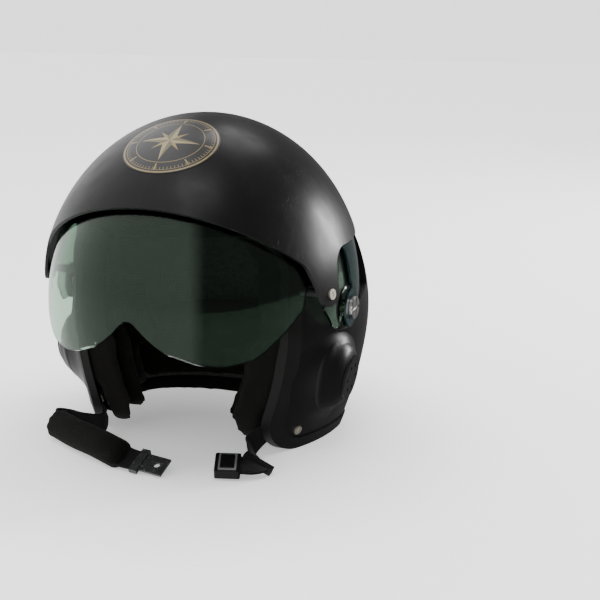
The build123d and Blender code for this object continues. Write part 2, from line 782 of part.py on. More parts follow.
# Right strap, its padded sleeve and the tongue; built on the left and mirrored
right_frames = strap_frames(right_web_route, right_web_rolls)
right_webbing = webbing(right_frames)
export(on_side(sides["right"], right_webbing), "right_webbing")

first_frame = len(wall_places) + sleeve_first
last_frame = len(wall_places) + sleeve_last
with BuildPart() as chin_pad:
    for index in range(first_frame, last_frame + 1):
        share = sleeve_end_share if index in (first_frame, last_frame) else 1.0
        with BuildSketch(right_frames[index]):
            Ellipse(sleeve_wide * share / 2, sleeve_deep * share / 2)
    loft()
    add(right_webbing, mode=Mode.SUBTRACT)
export(on_side(sides["right"], chin_pad.part), "chin_pad")

tip_frame = right_frames[-1]
with BuildPart() as snap_tongue:
    add(slab(tip_frame, tongue_root_wide, -tongue_root_back, tongue_root_long - tongue_root_back,
             -tongue_root_thick / 2, tongue_root_thick / 2))
    add(slab(tip_frame, tongue_wide, 0, tongue_long, -tongue_thick / 2, tongue_thick / 2))
    add(right_webbing, mode=Mode.SUBTRACT)
    tip_plane = Plane(tip_frame.origin, x_dir=tip_frame.x_dir, z_dir=tip_frame.x_dir.cross(tip_frame.z_dir))
    with BuildSketch(tip_plane.offset(-tongue_root_thick)):
        with Locations((0, tongue_hole_out)):
            Circle(tongue_hole_radius)
    extrude(amount=2 * tongue_root_thick, mode=Mode.SUBTRACT)
export(on_side(sides["right"], snap_tongue.part), "snap_tongue")
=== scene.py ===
# %% [markdown]
# # A two-visor flight helmet
# This notebook dresses a helmet whose hard parts come from a CAD model. The hard parts keep their
# CAD shape and get better finishes. The soft parts (pads, bound edge, webbing, padded sleeve) are
# made again here, because cloth and foam need crowned, gathered and stitched forms.

# %% Load the frame
import json
import math

import bmesh
import bpy
import numpy as np
from mathutils import Matrix, Vector
from mathutils.bvhtree import BVHTree


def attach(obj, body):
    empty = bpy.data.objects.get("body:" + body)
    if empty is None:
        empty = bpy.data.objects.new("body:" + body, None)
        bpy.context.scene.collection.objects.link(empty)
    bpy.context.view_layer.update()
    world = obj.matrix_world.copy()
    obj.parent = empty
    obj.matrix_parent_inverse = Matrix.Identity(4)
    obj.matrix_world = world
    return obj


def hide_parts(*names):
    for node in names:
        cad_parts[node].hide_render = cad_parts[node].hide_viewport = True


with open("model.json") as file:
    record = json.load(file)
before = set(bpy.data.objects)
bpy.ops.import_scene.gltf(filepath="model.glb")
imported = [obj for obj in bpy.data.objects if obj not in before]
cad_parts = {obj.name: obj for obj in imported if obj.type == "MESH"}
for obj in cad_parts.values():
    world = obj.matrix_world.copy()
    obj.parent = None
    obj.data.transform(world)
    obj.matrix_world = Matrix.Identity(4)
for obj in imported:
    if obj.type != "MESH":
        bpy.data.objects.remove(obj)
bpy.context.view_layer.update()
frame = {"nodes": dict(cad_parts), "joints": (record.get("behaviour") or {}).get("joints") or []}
nodes = frame["nodes"]
PIVOT = Vector((0.0, 0.0, 0.118))

# %% [markdown]
# ## Shader maths as sums
# Node trees are long to build by hand. Here one small class wraps a socket, so that an expression such
# as 1 - mask * 0.5 adds the Math nodes by itself. Every other node comes from one method, node().

# %% The socket class and the finish class
class Flow:
    """One value that runs through a shader tree."""

    def __init__(self, finish, socket):
        self.finish, self.socket = finish, socket

    def calc(self, operation, *others):
        return self.finish.node("ShaderNodeMath", {"operation": operation}, self, *others)

    def __add__(self, other):
        return self.calc("ADD", other)

    __radd__ = __add__

    def __mul__(self, other):
        return self.calc("MULTIPLY", other)

    __rmul__ = __mul__

    def __sub__(self, other):
        return self.calc("SUBTRACT", other)

    def __rsub__(self, other):
        return self.finish.node("ShaderNodeMath", {"operation": "SUBTRACT"}, other, self)

    def __truediv__(self, other):
        return self.calc("DIVIDE", other)

    def __gt__(self, other):
        return self.calc("GREATER_THAN", other)

    def __lt__(self, other):
        return self.calc("LESS_THAN", other)

    def __abs__(self):
        return self.calc("ABSOLUTE")

    def within(self, low, high):
        """1 between two values and 0 outside them."""
        return (self > low) * (self < high)

    def ramp(self, *stops):
        """Colours or greys along 0 to 1, as (place, colour)."""
        return self.finish.node("ShaderNodeValToRGB", {"stops": stops}, self)


class Finish:
    """One material, with its shader and the coordinates that its pattern uses."""

    def __init__(self, name, **fixed):
        self.material = bpy.data.materials.new(name)
        self.material.use_nodes = True
        self.tree = self.material.node_tree
        self.shader = self.tree.nodes["Principled BSDF"]
        for socket, value in fixed.items():
            self.shader.inputs[socket.replace("_", " ")].default_value = value
        coordinates = self.tree.nodes.new("ShaderNodeTexCoord")
        self.place = Flow(self, coordinates.outputs["Object"])
        self.flat = Flow(self, coordinates.outputs["UV"])

    def node(self, kind, settings, *values, out=0):
        """Adds a node: its settings first, then its inputs in order; gives back an output."""
        made = self.tree.nodes.new(kind)
        for key, value in settings.items():
            if key == "stops":
                while len(made.color_ramp.elements) < len(value):
                    made.color_ramp.elements.new(0.5)
                for element, (spot, colour) in zip(made.color_ramp.elements, value):
                    element.position = spot
                    element.color = grey(colour) if isinstance(colour, (int, float)) else (*colour, 1.0)
            else:
                setattr(made, key, value)
        for target, value in zip(made.inputs, values):
            if isinstance(value, Flow):
                self.tree.links.new(value.socket, target)
            elif value is not None:
                target.default_value = value
        return Flow(self, made.outputs[out])

    def noise(self, scale, detail=3.0, roughness=0.55, place=None, out=0):
        return self.node("ShaderNodeTexNoise", {}, place or self.place, None, scale, detail, roughness,
                         out=out)

    def stretched(self, factors):
        """The object's coordinates, scaled by a factor on each axis."""
        return self.node("ShaderNodeVectorMath", {"operation": "MULTIPLY"}, self.place, factors)

    def parts(self, vector):
        """The three numbers of a vector."""
        split = self.tree.nodes.new("ShaderNodeSeparateXYZ")
        self.tree.links.new(vector.socket, split.inputs[0])
        return [Flow(self, socket) for socket in split.outputs]

    def mix(self, share, first, second):
        """Colour from first to second as share goes from 0 to 1."""
        made = self.tree.nodes.new("ShaderNodeMix")
        made.data_type = "RGBA"
        for target, value in zip((made.inputs[0], made.inputs[6], made.inputs[7]), (share, first, second)):
            if isinstance(value, Flow):
                self.tree.links.new(value.socket, target)
            else:
                target.default_value = value if isinstance(value, (int, float)) else (*value, 1.0)
        return Flow(self, made.outputs[2])

    def feed(self, name, flow):
        self.tree.links.new(flow.socket, self.shader.inputs[name])
        return self

    def bump(self, height, depth, strength=1.0):
        """Lifts the surface by a pattern whose full height is depth, in metres."""
        made = self.tree.nodes.new("ShaderNodeBump")
        made.inputs["Strength"].default_value = strength
        made.inputs["Distance"].default_value = depth
        self.tree.links.new(height.socket, made.inputs["Height"])
        self.tree.links.new(made.outputs[0], self.shader.inputs["Normal"])
        return self


def grey(value):
    return (value, value, value, 1.0)


# %% [markdown]
# ## Hard finishes
# The shell is moulded and sprayed a satin near-black. Close up, such paint has a fine orange peel,
# cloudy rub marks where hands hold it, and a few hair scratches. Each shows mainly in the gloss.

# %% Satin paint
def satin_paint(name, dark, light, rough=0.36):
    paint = Finish(name, Coat_Roughness=0.22, IOR=1.48, Specular_IOR_Level=0.16)
    clouds = paint.noise(14.0, 4.0)
    rubs = paint.noise(55.0, 5.0, place=paint.stretched((1.0, 1.6, 0.6)))
    specks = paint.noise(1400.0, 2.0)
    scratches = abs(paint.noise(38.0, 2.0, place=paint.stretched((7.0, 0.8, 1.0))) - 0.5) < 0.0025
    paint.feed("Base Color", paint.mix(clouds * 0.6 + rubs * 0.4, dark, light))
    paint.feed("Roughness", rough - 0.1 + rubs * 0.14 + clouds * 0.1 + scratches * 0.12)
    paint.feed("Coat Weight", rubs.ramp((0.35, 0.10), (0.7, 0.03)))
    paint.bump(specks * 0.6 + paint.noise(420.0, 2.0) - scratches * 0.5, 0.00006, 0.55)
    return paint.material


shell_paint = satin_paint("shell_satin_black", (0.0026, 0.0025, 0.0026), (0.0062, 0.0058, 0.0059))
cover_paint = satin_paint("cover_satin_black", (0.0030, 0.0029, 0.0032), (0.0072, 0.0069, 0.0073),
                          rough=0.34)


# %% [markdown]
# ## Moulded plastic and rubber
# Vents, buckle and spacers are textured plastic. The spark-eroded mould leaves a fine even grain, and
# handling polishes it in patches. The edge trim is rubber: duller, with dust in its pores.

# %% Plastic and rubber
def moulded(name, dark, light, rough, grain, depth):
    plastic = Finish(name, IOR=1.46, Specular_IOR_Level=0.16)
    patches = plastic.noise(60.0, 4.0)
    pores = plastic.noise(grain, 3.0)
    plastic.feed("Base Color", plastic.mix(patches * 0.7 + pores * 0.3, dark, light))
    plastic.feed("Roughness", rough + patches * 0.16 - 0.08 + pores * 0.08)
    plastic.bump(pores, depth, 0.6)
    return plastic.material


trim_rubber = moulded("trim_rubber", (0.0040, 0.0040, 0.0040), (0.0095, 0.0092, 0.0090),
                      rough=0.52, grain=1800.0, depth=0.00008)
vent_plastic = moulded("vent_plastic", (0.0030, 0.0030, 0.0030), (0.0075, 0.0072, 0.0072),
                       rough=0.42, grain=2600.0, depth=0.00006)
spacer_plastic = moulded("spacer_plastic", (0.012, 0.012, 0.013), (0.024, 0.024, 0.025),
                         rough=0.4, grain=2200.0, depth=0.00005)
buckle_plastic = moulded("buckle_plastic", (0.0030, 0.0030, 0.0033), (0.0085, 0.0082, 0.0082),
                         rough=0.38, grain=2400.0, depth=0.00006)
washer_plastic = moulded("washer_plastic", (0.55, 0.53, 0.48), (0.72, 0.70, 0.65),
                         rough=0.35, grain=1500.0, depth=0.00003)


# %% [markdown]
# ## Bead foam
# The energy liner under the pads is moulded from small fused beads. A Voronoi cell pattern at a bead's
# size gives the seams between the beads.

# %% Foam
def bead_foam(name):
    foam = Finish(name)
    beads = foam.node("ShaderNodeTexVoronoi", {}, foam.place, None, 300.0)
    foam.feed("Base Color", foam.mix(beads, (0.042, 0.042, 0.04), (0.018, 0.018, 0.017)))
    foam.feed("Roughness", 0.72 + beads * 0.2)
    foam.bump(1 - beads, 0.0005, 0.7)
    return foam.material


foam_black = bead_foam("bead_foam")


# %% [markdown]
# ## Metals
# The pivot knobs and the buckle's frame are plated, so they mirror the room. The screws are turned
# steel of a cream-grey tone, with the same smears and fine hair lines as the plating.

# %% Metals
def plated(name, colour, rough):
    metal = Finish(name, Metallic=1.0)
    smears = metal.noise(160.0, 4.0)
    hairs = metal.noise(900.0, 2.0, place=metal.stretched((1.0, 0.1, 1.0)))
    metal.feed("Base Color", metal.mix(smears, tuple(c * 0.82 for c in colour), colour))
    metal.feed("Roughness", rough + smears * 0.12 + hairs * 0.08)
    metal.bump(hairs, 0.00001, 0.4)
    return metal.material


knob_chrome = plated("knob_chrome", (0.60, 0.59, 0.56), 0.12)
bezel_chrome = plated("bezel_chrome", (0.88, 0.88, 0.89), 0.32)
screw_steel = plated("screw_steel", (0.78, 0.73, 0.64), 0.3)


def coated_metal(name):
    """Black coating that has worn to bright metal along a few scratches."""
    coat = Finish(name)
    wear = coat.noise(210.0, 5.0)
    lines = abs(coat.noise(120.0, 2.0, place=coat.stretched((5.0, 1.0, 1.0))) - 0.5) < 0.006
    bare = (wear > 0.66) * 0.6 + lines * 0.5
    coat.feed("Base Color", coat.mix(bare, (0.014, 0.014, 0.015), (0.34, 0.33, 0.32)))
    coat.feed("Metallic", bare.calc("MINIMUM", 1.0))
    coat.feed("Roughness", 0.42 - wear * 0.14)
    coat.bump(wear, 0.00003, 0.4)
    return coat.material


tongue_metal = coated_metal("tongue_black_coat")


# %% [markdown]
# ## Visor lenses
# A lens is polished polycarbonate with a green coating, which tints what it mirrors. The dark one is
# a deep smoke besides. Light goes through both, so each is a transmitting shader, with faint wipe
# marks in the gloss.

# %% Lenses
def lens(name, tint, through, coating):
    """A lens with the colour of its mass, the share of light that it lets through and its coating."""
    clear = Finish(name, Transmission_Weight=through, IOR=1.36, Specular_Tint=(*coating, 1.0))
    wipes = clear.noise(26.0, 3.0, place=clear.stretched((1.0, 1.0, 4.0)))
    clear.feed("Base Color", clear.mix(wipes * 0.3, tint, tuple(c * 0.9 for c in tint)))
    clear.feed("Roughness", (wipes > 0.66) * 0.03)
    return clear.material


clear_lens = lens("clear_visor_lens", (0.24, 0.36, 0.27), 1.0, (0.82, 1.0, 0.85))
smoke_lens = lens("smoke_visor_lens", (0.008, 0.026, 0.028), 0.5, (0.9, 1.0, 1.0))


# %% [markdown]
# ## Fabrics
# The pads are short plush: matt, a little hairy, olive-black, and lighter where the pile leans. The
# webbing is woven nylon, which shows rows of small raised picks. Both patterns are made from noise or
# from sine waves along the strap's own length and width.

# %% Plush and sleeve cloth
def plush(name, dark, light, pile):
    cloth = Finish(name, Sheen_Weight=0.03, Sheen_Roughness=0.45, IOR=1.4, Specular_IOR_Level=0.12)
    lean = cloth.noise(38.0, 4.0)
    hairs = cloth.noise(pile, 4.0, 0.7)
    cloth.feed("Base Color", cloth.mix(lean * 0.55 + hairs * 0.45, dark, light))
    cloth.feed("Roughness", 0.8 + hairs * 0.18)
    cloth.bump(hairs + lean * 0.4, 0.0009, 0.8)
    return cloth.material


plush_olive = plush("plush_olive_black", (0.0008, 0.0008, 0.0006), (0.0072, 0.0068, 0.0046), 1300.0)
edge_cloth = plush("bound_edge_cloth", (0.0015, 0.0015, 0.0013), (0.0085, 0.0082, 0.0070), 2400.0)
sleeve_cloth = plush("sleeve_cloth", (0.0010, 0.0011, 0.0008), (0.0060, 0.0060, 0.0050), 1900.0)


# %% Webbing and thread
def woven(name, dark, light, pick, end):
    """Weave over a strap whose UV runs in metres: first along it, then across."""
    web = Finish(name, Sheen_Weight=0.03, IOR=1.45, Specular_IOR_Level=0.16)
    along, across, _ = web.parts(web.flat)
    column = (across / end).calc("FLOOR")
    shifted = along * (2 * math.pi / pick) + column * math.pi
    picks = shifted.calc("SINE") * 0.5 + 0.5
    rounds = (across * (math.pi / end)).calc("SINE").calc("ABSOLUTE")
    relief = picks * 0.6 + rounds * 0.4
    fuzz = web.noise(1600.0, 3.0)
    wear = web.noise(30.0, 3.0)
    web.feed("Base Color", web.mix(relief * 0.6 + fuzz * 0.2 + wear * 0.2, dark, light))
    web.feed("Roughness", 0.62 + fuzz * 0.2)
    web.bump(relief + fuzz * 0.3, 0.0003, 0.8)
    return web.material


strap_weave = woven("strap_weave", (0.0014, 0.0014, 0.0015), (0.0095, 0.0092, 0.0092),
                    pick=0.0016, end=0.0013)
thread_black = moulded("thread", (0.010, 0.010, 0.010), (0.026, 0.026, 0.025),
                       rough=0.6, grain=3000.0, depth=0.00005)


# %% [markdown]
# ## The crown emblem
# A round print on the cover: black, with gold rings, degree ticks and a plain compass star. It is
# drawn with distances and angles about the emblem's own axis, so it needs no picture.

# %% Emblem
EMBLEM_TILT = math.radians(63.5)


def emblem_print():
    print_coat = Finish("emblem_print", Coat_Roughness=0.15)
    outward = Vector((0.0, -math.cos(EMBLEM_TILT), math.sin(EMBLEM_TILT)))
    upward = outward.cross(Vector((1.0, 0.0, 0.0)))
    across, south, sky = print_coat.parts(print_coat.place)
    up = (south * upward.y) + (sky - PIVOT.z) * upward.z
    radius = (across * across + up * up).calc("SQRT")
    angle = up.calc("ARCTAN2", across)
    quarter = math.pi / 2
    fold = abs((angle + 9 * quarter / 2).calc("MODULO", quarter) - quarter / 2)
    eighth = abs((angle + 8 * math.pi + quarter / 4).calc("MODULO", quarter / 2) - quarter / 4)
    ticks = abs((angle + 8 * math.pi).calc("MODULO", math.pi / 36) - math.pi / 72)
    star = radius * (fold.calc("COSINE") + fold.calc("SINE") * 5.0) < 0.0250
    small_star = radius * (eighth.calc("COSINE") + eighth.calc("SINE") * 6.0) < 0.0165
    side = ((angle + 8 * math.pi).calc("MODULO", quarter) - quarter / 2) > 0.0
    rings = radius.within(0.0364, 0.0376) + radius.within(0.0268, 0.0273) + radius.within(0.0346, 0.0349)
    marks = (ticks * radius < 0.00020) * radius.within(0.0322, 0.0346)
    wide_marks = (eighth * radius < 0.0006) * radius.within(0.0287, 0.0346)
    age = print_coat.noise(300.0, 4.0)
    gold = print_coat.mix(age, (0.20, 0.14, 0.05), (0.36, 0.27, 0.11))
    pale = print_coat.mix(side, (0.15, 0.125, 0.06), (0.34, 0.28, 0.15))
    ground = print_coat.mix(age, (0.0035, 0.0035, 0.004), (0.009, 0.0085, 0.008))
    drawn = print_coat.mix((rings + marks + wide_marks + small_star).calc("MINIMUM", 1.0), ground, gold)
    print_coat.feed("Base Color", print_coat.mix(star, drawn, pale))
    print_coat.feed("Roughness", 0.3 + age * 0.15)
    print_coat.feed("Coat Weight", age.ramp((0.3, 0.3), (0.7, 0.15)))
    print_coat.bump(rings + marks + star, 0.00004, 0.5)
    return print_coat.material


# %% [markdown]
# ## Dressing the hard parts
# The CAD meshes keep their points. Only their finish changes, and faces that meet at a shallow angle
# are shaded as one smooth surface.

# %% Finishes on the CAD nodes
hard_finish = {"main_shell": shell_paint, "visor_cover": cover_paint, "edge_trim": trim_rubber,
               "emblem_disc": emblem_print(), "inner_visor": clear_lens, "outer_visor": smoke_lens,
               "foam_liner": foam_black, "strap_keeper": buckle_plastic, "buckle_frame": buckle_plastic,
               "buckle_button": buckle_plastic, "buckle_bezel": bezel_chrome, "snap_tongue": tongue_metal}
for side in ("left", "right"):
    hard_finish[side + "_pivot_stud"] = screw_steel
    hard_finish[side + "_pivot_washers"] = washer_plastic
    hard_finish[side + "_pivot_knob"] = knob_chrome
    hard_finish[side + "_tab_spacer"] = spacer_plastic
    hard_finish[side + "_tab_screw"] = screw_steel
    hard_finish[side + "_ear_vent"] = vent_plastic
    hard_finish[side + "_strap_screw"] = screw_steel
SMOOTH_BELOW = math.radians(28)
for name, finish in hard_finish.items():
    mesh = nodes[name].data
    mesh.materials.clear()
    mesh.materials.append(finish)
    mesh.polygons.foreach_set("use_smooth", [True] * len(mesh.polygons))
    mesh.set_sharp_from_angle(angle=SMOOTH_BELOW)
print("finishes on", len(hard_finish), "hard pieces")


# %% Helpers for new pieces
def new_piece(name, mesh, finish):
    piece = bpy.data.objects.new(name, mesh)
    bpy.context.scene.collection.objects.link(piece)
    mesh.materials.clear()
    mesh.materials.append(finish)
    mesh.polygons.foreach_set("use_smooth", [True] * len(mesh.polygons))
    return piece


def apply_modifiers(piece):
    bpy.context.view_layer.update()
    shaped = bpy.data.meshes.new_from_object(
        piece.evaluated_get(bpy.context.evaluated_depsgraph_get()))
    piece.modifiers.clear()
    piece.data = shaped
    return piece


def built_piece(name, mesh, finish):
    """A piece from a mesh under construction, with its faces turned outward."""
    bmesh.ops.recalc_face_normals(mesh, faces=mesh.faces)
    data = bpy.data.meshes.new(name)
    mesh.to_mesh(data)
    mesh.free()
    return new_piece(name, data, finish)


# %% [markdown]
# ## The clear visor's nose notch
# The real lens rises over the nose between its two lobes. A copy of the CAD visor has that notch cut
# out of its lower edge with a Boolean, and its prism follows one half outline that is mirrored.

# %% Nose notch
NOTCH = [(0.0315, 0.0900), (0.0300, 0.1036), (0.0265, 0.1064), (0.0220, 0.1095), (0.0170, 0.1137),
         (0.0130, 0.1173), (0.0095, 0.1207), (0.0066, 0.1238), (0.0040, 0.1260), (0.0016, 0.1271)]
NOTCH_FRONT, NOTCH_BACK = -0.170, -0.100


def notched_visor():
    """The visor with the notch cut out; NOTCH is one half of its outline, outward and up."""
    outline = NOTCH + [(-x, z) for x, z in reversed(NOTCH)]
    mesh = bmesh.new()
    rings = [[mesh.verts.new((x, y, z)) for x, z in outline] for y in (NOTCH_FRONT, NOTCH_BACK)]
    count = len(outline)
    for k in range(count):
        n = (k + 1) % count
        mesh.faces.new((rings[0][k], rings[0][n], rings[1][n], rings[1][k]))
    mesh.faces.new(list(reversed(rings[0])))
    mesh.faces.new(rings[1])
    prism = built_piece("notch_prism", mesh, clear_lens)
    piece = new_piece("clear_lens", nodes["inner_visor"].data.copy(), clear_lens)
    cut = piece.modifiers.new("notch", "BOOLEAN")
    cut.operation, cut.object, cut.solver = "DIFFERENCE", prism, "EXACT"
    apply_modifiers(piece)
    bpy.data.objects.remove(prism)
    shaped = piece.data
    shaped.materials.clear()
    shaped.materials.append(clear_lens)
    for face in shaped.polygons:
        face.material_index = 0
    shaped.polygons.foreach_set("use_smooth", [True] * len(shaped.polygons))
    shaped.set_sharp_from_angle(angle=SMOOTH_BELOW)
    return piece


clear_visor = notched_visor()
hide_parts("inner_visor")
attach(clear_visor, "clear_visor")
print("clear visor faces", len(clear_visor.data.polygons))


# %% [markdown]
# ## Ear bulge blends
# The ear bulges swell out of the shell without a crease. Rays sent in from the side give the height of
# the CAD surface on a polar grid about each vent. Smoothing those heights outward and laying a skin
# wherever the smoothed height stands proud fills the hollow corner as sprayed moulding would.

# %% Ear blends
EAR_MIDDLE = Vector((0.0, -0.003, 0.0601))
BLEND_NEAR, BLEND_FAR = 0.016, 0.060
BLEND_TURNS, BLEND_RINGS, BLEND_ROUNDS = 96, 44, 60
RAY_START = 0.3
shell_tree = BVHTree.FromPolygons([v.co for v in nodes["main_shell"].data.vertices],
                                  [p.vertices for p in nodes["main_shell"].data.polygons])


def around_ear(out, turn, ring):
    """Place at one spoke and one ring of the polar grid about an ear, at a distance out sideways."""
    angle = 2 * math.pi * turn / BLEND_TURNS
    radius = BLEND_NEAR + (BLEND_FAR - BLEND_NEAR) * ring / (BLEND_RINGS - 1)
    return Vector((out, EAR_MIDDLE.y + radius * math.cos(angle), EAR_MIDDLE.z + radius * math.sin(angle)))


def ear_blend(side):
    sign = 1.0 if side == "left" else -1.0
    heights = np.zeros((BLEND_TURNS, BLEND_RINGS))
    for turn in range(BLEND_TURNS):
        for ring in range(BLEND_RINGS):
            spot = around_ear(sign * RAY_START, turn, ring)
            hit = shell_tree.ray_cast(spot, Vector((-sign, 0.0, 0.0)))[0]
            heights[turn, ring] = sign * hit.x if hit is not None and sign * hit.x > 0.04 else -1.0
    smooth = heights.copy()
    for _ in range(BLEND_ROUNDS):
        inner = smooth.copy()
        inner[:, 1:-1] = (smooth[:, :-2] + 2 * smooth[:, 1:-1] + smooth[:, 2:]) / 4
        inner = (np.roll(inner, 1, 0) + 2 * inner + np.roll(inner, -1, 0)) / 4
        smooth = np.where(heights > 0, np.maximum(inner, heights - 0.0006), heights)
    proud = smooth - heights
    mesh = bmesh.new()
    grid = {}
    for turn in range(BLEND_TURNS):
        for ring in range(BLEND_RINGS):
            if heights[turn, ring] > 0:
                grid[turn, ring] = mesh.verts.new(around_ear(sign * smooth[turn, ring], turn, ring))
    for turn in range(BLEND_TURNS):
        after = (turn + 1) % BLEND_TURNS
        for ring in range(BLEND_RINGS - 1):
            corners = [(turn, ring), (turn, ring + 1), (after, ring + 1), (after, ring)]
            if all(c in grid for c in corners) and max(proud[c] for c in corners) > 0.00002:
                mesh.faces.new([grid[c] for c in corners])
    loose = [v for v in mesh.verts if not v.link_faces]
    bmesh.ops.delete(mesh, geom=loose, context="VERTS")
    piece = built_piece(side + "_ear_blend", mesh, shell_paint)
    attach(piece, "helmet")
    tallest = round(1000 * float(proud.max()), 2)
    print(piece.name, len(piece.data.polygons), "faces, proud by at most", tallest, "mm")


for side in ("left", "right"):
    ear_blend(side)


# %% [markdown]
# ## Soft pads
# A sewn foam pad is crowned in the middle and drawn in at its seams. The CAD solid gives only the room
# that it fills. Each pad is remeshed to small even quads, drawn in a little, and then blown up by
# Blender's cloth solver with a cap on how far any point may travel, which rounds it like a cushion.

# %% Pad helpers
def points_of(mesh):
    found = np.empty(len(mesh.vertices) * 3)
    mesh.vertices.foreach_get("co", found)
    return found.reshape(-1, 3)


def set_points(mesh, places):
    mesh.vertices.foreach_set("co", np.asarray(places, float).ravel())
    mesh.update()


def normals_of(mesh):
    found = np.empty(len(mesh.vertices) * 3)
    mesh.vertices.foreach_get("normal", found)
    return found.reshape(-1, 3)


def soft_pad(name, node, finish, voxel=0.0042, draw_in=0.0026, cap=0.0026, rounds=16):
    """A crowned pad in the room of one CAD solid."""
    source = nodes[node].data.copy()
    piece = new_piece(name, source, finish)
    remesh = piece.modifiers.new("even", "REMESH")
    remesh.mode, remesh.voxel_size = "VOXEL", voxel
    ease = piece.modifiers.new("ease", "SMOOTH")
    ease.factor, ease.iterations = 0.5, rounds
    apply_modifiers(piece)
    rest = points_of(piece.data)
    set_points(piece.data, rest - normals_of(piece.data) * draw_in)
    start = points_of(piece.data)
    cloth = piece.modifiers.new("air", "CLOTH")
    cloth.settings.use_pressure = True
    cloth.settings.uniform_pressure_force = 4.0
    cloth.settings.effector_weights.gravity = 0.0
    cloth.settings.quality = 4
    for step in range(1, 16):
        bpy.context.scene.frame_set(step)
    apply_modifiers(piece)
    moved = points_of(piece.data) - start
    length = np.linalg.norm(moved, axis=1, keepdims=True)
    moved *= np.minimum(1.0, cap / np.maximum(length, 1e-9))
    set_points(piece.data, start + moved)
    bpy.context.scene.frame_set(1)
    finer = piece.modifiers.new("finer", "SUBSURF")
    finer.levels = finer.render_levels = 1
    apply_modifiers(piece)
    piece.data.materials.clear()
    piece.data.materials.append(finish)
    piece.data.polygons.foreach_set("use_smooth", [True] * len(piece.data.polygons))
    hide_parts(node)
    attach(piece, "helmet")
    print(name, len(piece.data.vertices), "points")
    return piece


# %% The pads
for name, node in (("crown_cushion", "crown_pad"), ("brow_cushion", "brow_pad"),
                   ("nape_cushion", "nape_pad"), ("left_cheek_cushion", "left_cheek_pad"),
                   ("right_cheek_cushion", "right_cheek_pad")):
    soft_pad(name, node, plush_olive)
soft_pad("bound_edge_roll", "liner_edge", edge_cloth, voxel=0.0030, draw_in=0.0008, cap=0.001, rounds=10)

# %% [markdown]
# ## Webbing
# Webbing is flat, so it is swept directly: a thin rounded section is carried along the strap's own
# line, turned at each place as the strap twists. The line starts at the anchor screw, whose place and
# direction come from the joint that the strap swings on, and then follows the CAD's own route.

# %% Strap lines
swing = next(joint for joint in frame["joints"] if joint["name"] == "left_strap_swing")
WALL_OUT = -Vector(swing["axis"])
WEB_LEVEL = 0.0072
ANCHOR = Vector(swing["pos_m"]) - WALL_OUT * WEB_LEVEL
WALL_DIP = math.radians(16.0)
ALONG_WALL = [(0.005, 0.0), (0.014, 0.0004), (0.024, 0.0024)]
LEFT_ROUTE = [(0.0660, -0.0580, 0.0112), (0.0720, -0.0690, 0.0098), (0.0800, -0.0800, 0.0089),
              (0.0830, -0.0880, 0.0087), (0.0805, -0.0945, 0.0086), (0.0750, -0.0975, 0.0086),
              (0.0690, -0.0995, 0.0086)]
LEFT_ROLLS = [12.0, 34.0, 54.0, 66.0, 71.0, 75.0, 75.0]
RIGHT_ROUTE = [(0.0680, -0.0580, 0.0114), (0.0810, -0.0660, 0.0112), (0.0960, -0.0645, 0.0115),
               (0.1070, -0.0650, 0.0120), (0.1080, -0.0730, 0.0124), (0.0940, -0.0820, 0.0124),
               (0.0660, -0.0970, 0.0122), (0.0380, -0.1100, 0.0118), (0.0180, -0.1160, 0.0084),
               (0.0060, -0.1170, 0.0076)]
RIGHT_ROLLS = [10.0, 5.0, 0.0, 10.0, 25.0, 30.0, 30.0, 35.0, 58.0, 66.0]


def strap_line(route, rolls):
    """Places and width directions of a left-hand strap: along the wall, then by the route."""
    ahead = Vector((0.0, -math.cos(WALL_DIP), -math.sin(WALL_DIP)))
    ahead = (ahead - WALL_OUT * ahead.dot(WALL_OUT)).normalized()
    places = [ANCHOR + ahead * reach - WALL_OUT * deeper for reach, deeper in ALONG_WALL]
    widths = [ahead.cross(WALL_OUT)] * len(ALONG_WALL)
    places += [Vector(place) for place in route]
    for index in range(len(ALONG_WALL), len(places)):
        along = (places[min(index + 1, len(places) - 1)] - places[index - 1]).normalized()
        rise = (Vector((0.0, 0.0, 1.0)) - along * along.z).normalized()
        roll = math.radians(rolls[index - len(ALONG_WALL)])
        widths.append(rise * math.cos(roll) + along.cross(rise) * math.sin(roll))
    return list(zip(places, widths))


STEPS = 10


def smooth_line(line, mirror=False):
    """Places and width directions every few millimetres, on a smooth curve through the given ones."""
    flip = Vector((-1.0 if mirror else 1.0, 1.0, 1.0))
    rows = [(place * flip, wide * flip) for place, wide in line]
    places, widths = [], []
    for index in range(len(rows) - 1):
        around = [rows[min(max(index + k, 0), len(rows) - 1)] for k in (-1, 0, 1, 2)]
        for step in range(STEPS):
            t = step / STEPS
            weights = (-t / 2 + t * t - t ** 3 / 2, 1 - 2.5 * t * t + 1.5 * t ** 3,
                       t / 2 + 2 * t * t - 1.5 * t ** 3, -t * t / 2 + t ** 3 / 2)
            places.append(sum((row[0] * k for row, k in zip(around, weights)), Vector()))
            widths.append(sum((row[1] * k for row, k in zip(around, weights)), Vector()))
    places.append(rows[-1][0])
    widths.append(rows[-1][1])
    frames = []
    for index, place in enumerate(places):
        along = (places[min(index + 1, len(places) - 1)] - places[max(index - 1, 0)]).normalized()
        wide = (widths[index] - along * widths[index].dot(along)).normalized()
        face = wide.cross(along) * (-1.0 if mirror else 1.0)
        frames.append((place, wide, face, along))
    return frames


left_frames = smooth_line(strap_line(LEFT_ROUTE, LEFT_ROLLS))
right_frames = smooth_line(strap_line(RIGHT_ROUTE, RIGHT_ROLLS), mirror=True)
print("strap places", len(left_frames), len(right_frames))


